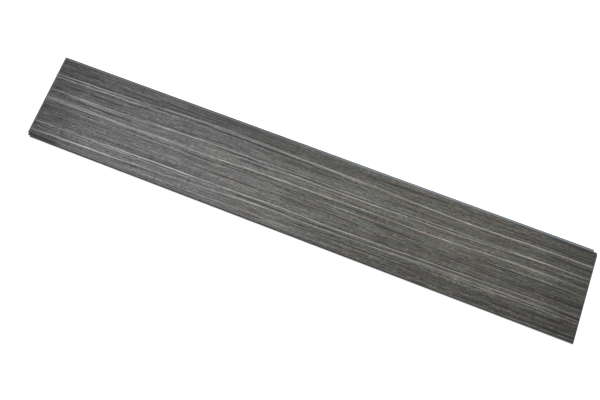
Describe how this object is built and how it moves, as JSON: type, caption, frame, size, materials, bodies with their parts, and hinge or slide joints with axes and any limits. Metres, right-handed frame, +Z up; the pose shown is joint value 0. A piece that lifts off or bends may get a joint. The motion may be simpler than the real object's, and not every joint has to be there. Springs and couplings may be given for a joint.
{
  "type": "vinyl floor plank",
  "caption": "Flat click-lock vinyl floor plank with a dark wood-grain face, a grooved locking lip along a long edge and an end, and a tongue along the edges opposite.",
  "frame": {"origin": "on the underside, under the middle of the whole outline with lip and tongue", "axes": "+X along the length towards the tongue end, +Y across the width towards the lip edge, +Z up out of the printed face"},
  "size_m": [1.227, 0.1984, 0.005],
  "materials": {
    "vinyl": "dark grey-brown wood-grain print under a matt embossed wear layer, on a grey filled vinyl core"
  },
  "bodies": {
    "root": {"plank": "vinyl"}
  },
  "joints": []
}
